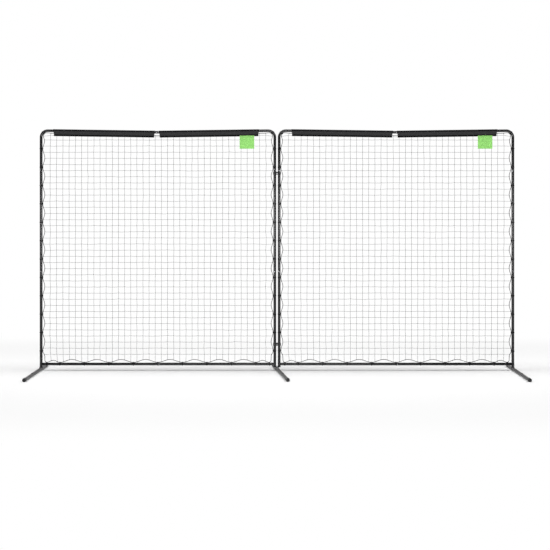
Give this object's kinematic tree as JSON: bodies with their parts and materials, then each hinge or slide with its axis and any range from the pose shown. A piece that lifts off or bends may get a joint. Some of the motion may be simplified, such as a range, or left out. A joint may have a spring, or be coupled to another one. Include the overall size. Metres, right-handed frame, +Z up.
{
  "type": "pitch back ball stop net",
  "caption": "Free-standing ball stop net: square steel tube panels side by side, each with a flat laced net, hinged at their shared posts on turning ground feet.",
  "frame": {"origin": "on the ground in the middle of the whole object", "axes": "+X along the net, +Y from the front of the feet to the back, +Z up"},
  "size_m": [6.0136, 1.03, 3.0505],
  "materials": {
    "frame_paint": "satin black powder coat",
    "foot_paint": "semi-gloss black powder coat",
    "zinc_steel": "zinc plated",
    "spring_steel": "oiled spring steel",
    "black_plastic": "moulded, fine matte grain",
    "net_twine": "knotted twisted twine",
    "border_rope": "braided cord",
    "sleeve_cloth": "woven polyester",
    "tag_cloth": "smooth woven label cloth"
  },
  "bodies": {
    "left_panel": {"left_outer_lower_post": "frame_paint", "left_inner_lower_post": "frame_paint", "left_outer_middle_post": "frame_paint", "left_inner_middle_post": "frame_paint", "left_outer_corner_tube": "frame_paint", "left_inner_corner_tube": "frame_paint", "left_outer_bottom_bar": "frame_paint", "left_inner_bottom_bar": "frame_paint", "left_joint_spigots": "zinc_steel", "left_button_springs": "spring_steel", "left_border_cord": "border_rope", "left_lashings": "border_rope", "left_net": "net_twine", "left_outer_sleeve": "sleeve_cloth", "left_inner_sleeve": "sleeve_cloth", "left_tag": "tag_cloth", "clip_front_halves": "black_plastic", "clip_back_halves": "black_plastic", "clip_screws": "zinc_steel", "middle_foot_bridge": "foot_paint"},
    "right_panel": {"right_outer_lower_post": "frame_paint", "right_inner_lower_post": "frame_paint", "right_outer_middle_post": "frame_paint", "right_inner_middle_post": "frame_paint", "right_outer_corner_tube": "frame_paint", "right_inner_corner_tube": "frame_paint", "right_outer_bottom_bar": "frame_paint", "right_inner_bottom_bar": "frame_paint", "right_joint_spigots": "zinc_steel", "right_button_springs": "spring_steel", "right_border_cord": "border_rope", "right_lashings": "border_rope", "right_net": "net_twine", "right_outer_sleeve": "sleeve_cloth", "right_inner_sleeve": "sleeve_cloth", "right_tag": "tag_cloth"},
    "left_foot": {"left_foot_tube": "foot_paint", "left_foot_caps": "black_plastic", "left_foot_peg_bush": "black_plastic", "left_foot_spigot": "zinc_steel"},
    "middle_foot": {"middle_foot_tube": "foot_paint", "middle_foot_caps": "black_plastic", "middle_foot_peg_bush": "black_plastic", "middle_foot_pivot": "zinc_steel"},
    "right_foot": {"right_foot_tube": "foot_paint", "right_foot_caps": "black_plastic", "right_foot_peg_bush": "black_plastic", "right_foot_spigot": "zinc_steel"},
    "left_outer_lower_button": {"left_outer_lower_button": "zinc_steel"},
    "left_outer_upper_button": {"left_outer_upper_button": "zinc_steel"},
    "left_inner_lower_button": {"left_inner_lower_button": "zinc_steel"},
    "left_inner_upper_button": {"left_inner_upper_button": "zinc_steel"},
    "left_top_button": {"left_top_button": "zinc_steel"},
    "left_bottom_button": {"left_bottom_button": "zinc_steel"},
    "right_outer_lower_button": {"right_outer_lower_button": "zinc_steel"},
    "right_outer_upper_button": {"right_outer_upper_button": "zinc_steel"},
    "right_inner_lower_button": {"right_inner_lower_button": "zinc_steel"},
    "right_inner_upper_button": {"right_inner_upper_button": "zinc_steel"},
    "right_top_button": {"right_top_button": "zinc_steel"},
    "right_bottom_button": {"right_bottom_button": "zinc_steel"}
  },
  "joints": [
    {"name": "panel_swing", "type": "hinge", "parent": "left_panel", "child": "right_panel", "pos_m": [0.0275, 0.235, 0], "axis": [0, 0, 1], "range_deg": [-90, 90]},
    {"name": "left_foot_swivel", "type": "hinge", "parent": "left_panel", "child": "left_foot", "pos_m": [-2.9845, 0.235, 0], "axis": [0, 0, 1], "range_deg": [-90, 90]},
    {"name": "middle_foot_swivel", "type": "hinge", "parent": "left_panel", "child": "middle_foot", "pos_m": [0, 0.235, 0], "axis": [0, 0, 1], "range_deg": [-100, 80]},
    {"name": "right_foot_swivel", "type": "hinge", "parent": "right_panel", "child": "right_foot", "pos_m": [2.9845, 0.235, 0], "axis": [0, 0, 1], "range_deg": [-90, 90]},
    {"name": "left_outer_lower_button_press", "type": "slide", "parent": "left_panel", "child": "left_outer_lower_button", "axis": [0, 1, 0], "range_m": [0, 0.005], "stiffness_N_per_m": 1000, "springref_m": -0.004, "deforming": ["left_button_springs"]},
    {"name": "left_outer_upper_button_press", "type": "slide", "parent": "left_panel", "child": "left_outer_upper_button", "axis": [0, 1, 0], "range_m": [0, 0.005], "stiffness_N_per_m": 1000, "springref_m": -0.004, "deforming": ["left_button_springs"]},
    {"name": "left_inner_lower_button_press", "type": "slide", "parent": "left_panel", "child": "left_inner_lower_button", "axis": [0, 1, 0], "range_m": [0, 0.005], "stiffness_N_per_m": 1000, "springref_m": -0.004, "deforming": ["left_button_springs"]},
    {"name": "left_inner_upper_button_press", "type": "slide", "parent": "left_panel", "child": "left_inner_upper_button", "axis": [0, 1, 0], "range_m": [0, 0.005], "stiffness_N_per_m": 1000, "springref_m": -0.004, "deforming": ["left_button_springs"]},
    {"name": "left_top_button_press", "type": "slide", "parent": "left_panel", "child": "left_top_button", "axis": [0, 1, 0], "range_m": [0, 0.005], "stiffness_N_per_m": 1000, "springref_m": -0.004, "deforming": ["left_button_springs"]},
    {"name": "left_bottom_button_press", "type": "slide", "parent": "left_panel", "child": "left_bottom_button", "axis": [0, 1, 0], "range_m": [0, 0.005], "stiffness_N_per_m": 1000, "springref_m": -0.004, "deforming": ["left_button_springs"]},
    {"name": "right_outer_lower_button_press", "type": "slide", "parent": "right_panel", "child": "right_outer_lower_button", "axis": [0, 1, 0], "range_m": [0, 0.005], "stiffness_N_per_m": 1000, "springref_m": -0.004, "deforming": ["right_button_springs"]},
    {"name": "right_outer_upper_button_press", "type": "slide", "parent": "right_panel", "child": "right_outer_upper_button", "axis": [0, 1, 0], "range_m": [0, 0.005], "stiffness_N_per_m": 1000, "springref_m": -0.004, "deforming": ["right_button_springs"]},
    {"name": "right_inner_lower_button_press", "type": "slide", "parent": "right_panel", "child": "right_inner_lower_button", "axis": [0, 1, 0], "range_m": [0, 0.005], "stiffness_N_per_m": 1000, "springref_m": -0.004, "deforming": ["right_button_springs"]},
    {"name": "right_inner_upper_button_press", "type": "slide", "parent": "right_panel", "child": "right_inner_upper_button", "axis": [0, 1, 0], "range_m": [0, 0.005], "stiffness_N_per_m": 1000, "springref_m": -0.004, "deforming": ["right_button_springs"]},
    {"name": "right_top_button_press", "type": "slide", "parent": "right_panel", "child": "right_top_button", "axis": [0, 1, 0], "range_m": [0, 0.005], "stiffness_N_per_m": 1000, "springref_m": -0.004, "deforming": ["right_button_springs"]},
    {"name": "right_bottom_button_press", "type": "slide", "parent": "right_panel", "child": "right_bottom_button", "axis": [0, 1, 0], "range_m": [0, 0.005], "stiffness_N_per_m": 1000, "springref_m": -0.004, "deforming": ["right_button_springs"]}
  ]
}
